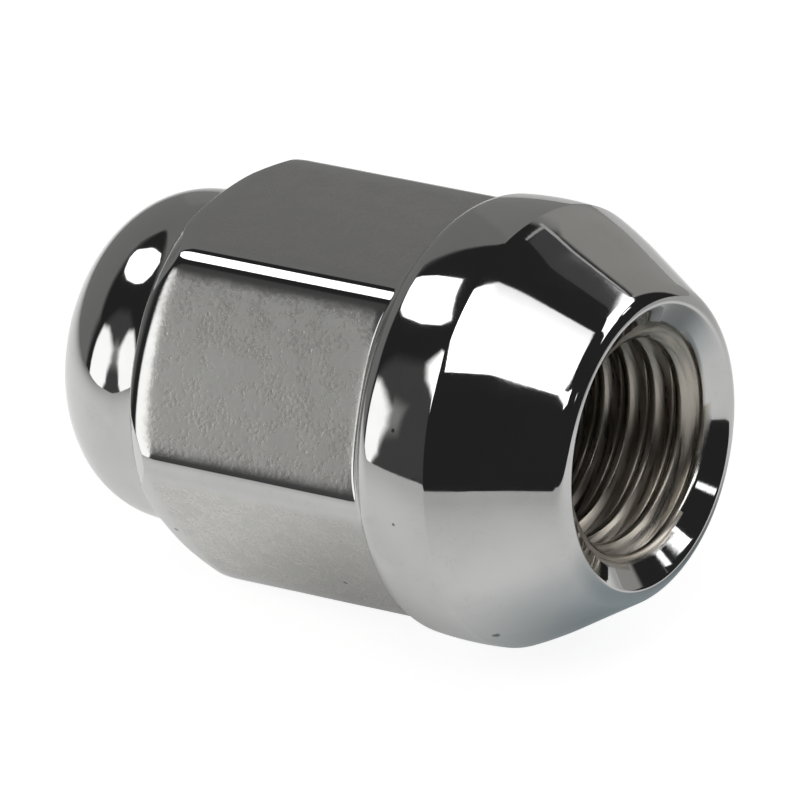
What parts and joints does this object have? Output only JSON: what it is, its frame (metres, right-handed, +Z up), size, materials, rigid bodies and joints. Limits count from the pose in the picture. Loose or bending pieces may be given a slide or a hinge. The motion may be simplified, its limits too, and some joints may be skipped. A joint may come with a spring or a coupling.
{
  "type": "conical lug nut",
  "caption": "Closed-end bulge-acorn lug nut: domed cap, hexagon, round bulge and 60 degree conical seat, with a blind M12 x 1.5 thread; lies on one flat.",
  "frame": {"origin": "centre of the footprint on the floor, under the nut as it lies at rest on its bulge and one flat", "axes": "+Z up; +X towards the mouth, in the vertical plane of the nut's axis, which climbs 5.9 degrees from the dome to the mouth; +Y to the side"},
  "size_m": [0.0324, 0.0222, 0.0223],
  "materials": {
    "chrome_plate": "polished chrome plate over steel, with faintly textured flats"
  },
  "bodies": {
    "root": {"lug_nut": "chrome_plate"}
  },
  "joints": []
}
